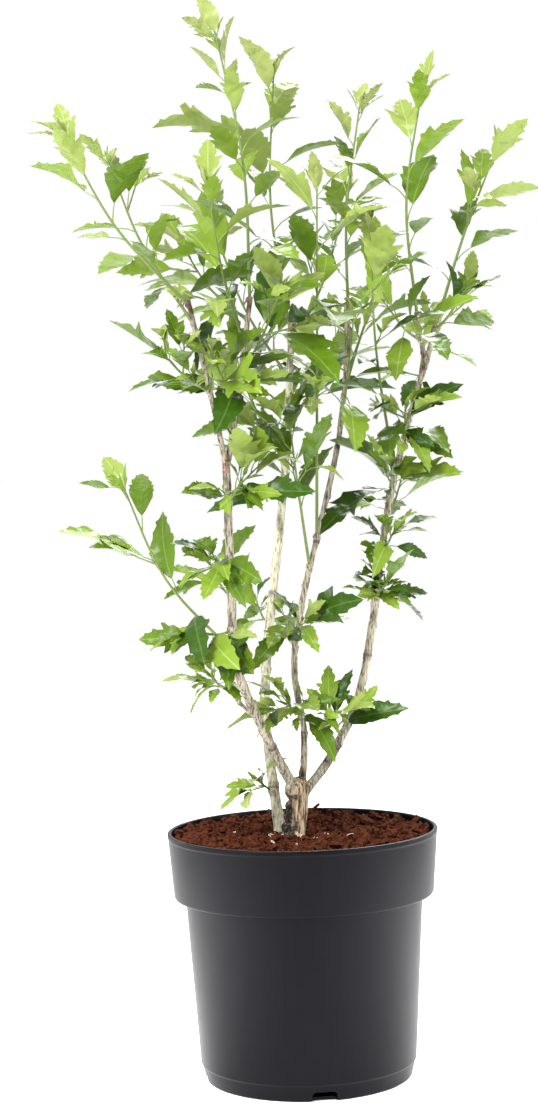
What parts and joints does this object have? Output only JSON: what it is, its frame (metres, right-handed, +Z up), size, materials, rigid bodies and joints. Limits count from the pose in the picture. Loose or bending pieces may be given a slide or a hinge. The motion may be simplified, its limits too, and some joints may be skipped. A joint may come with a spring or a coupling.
{
  "type": "potted rose of sharon",
  "caption": "Young rose of sharon shrub with upright woody stems and lobed green leaves, growing in bark mulch in a round dark nursery pot with a wide rim band.",
  "frame": {"origin": "centre of the pot's flat underside, where it stands on the ground", "axes": "+Z up, +Y from the front of the plant to its back, +X to the right as the front is seen"},
  "size_m": [0.4216, 0.3218, 0.91],
  "materials": {
    "pot_plastic": "satin",
    "potting_bark": "rough",
    "bark": "rough",
    "foliage": "satin"
  },
  "bodies": {
    "root": {"pot": "pot_plastic", "soil": "potting_bark", "trunk": "bark", "bough_left": "bark", "bough_right": "bark", "bough_centre": "bark", "stem_back": "bark", "prong_left_outer": "bark", "prong_left_inner": "bark", "prong_right_inner": "bark", "prong_right_outer": "bark", "twig_left_low": "bark", "shoot_far_left": "foliage", "shoot_left_inner": "foliage", "shoot_left_mid": "foliage", "shoot_tall": "foliage", "shoot_tall_right": "foliage", "shoot_centre": "foliage", "shoot_centre_right": "foliage", "shoot_right_thin": "foliage", "shoot_right_tall": "foliage", "shoot_far_right": "foliage", "shoot_back_left": "foliage", "shoot_back_right": "foliage", "shoot_low_left": "foliage", "spray_left_outer": "foliage", "spray_left_front": "foliage", "spray_left_inner": "foliage", "spray_crown_left": "foliage", "spray_back_left": "foliage", "spray_back_right": "foliage", "spray_centre_front": "foliage", "spray_centre_low": "foliage", "spray_centre_back": "foliage", "spray_right_inner": "foliage", "spray_right_outer": "foliage", "spray_right_crown": "foliage", "spray_right_upper": "foliage", "spray_right_mid": "foliage", "spray_right_lower": "foliage", "spray_right_low": "foliage", "spray_right_back": "foliage", "spray_left_upper": "foliage", "spray_left_mid": "foliage", "spray_left_lower": "foliage", "spray_left_back": "foliage", "spray_left_twig": "foliage", "spray_centre_base": "foliage", "spray_basal": "foliage", "spray_centre_stem": "foliage", "spray_right_base": "foliage", "spray_back_low": "foliage"}
  },
  "joints": []
}
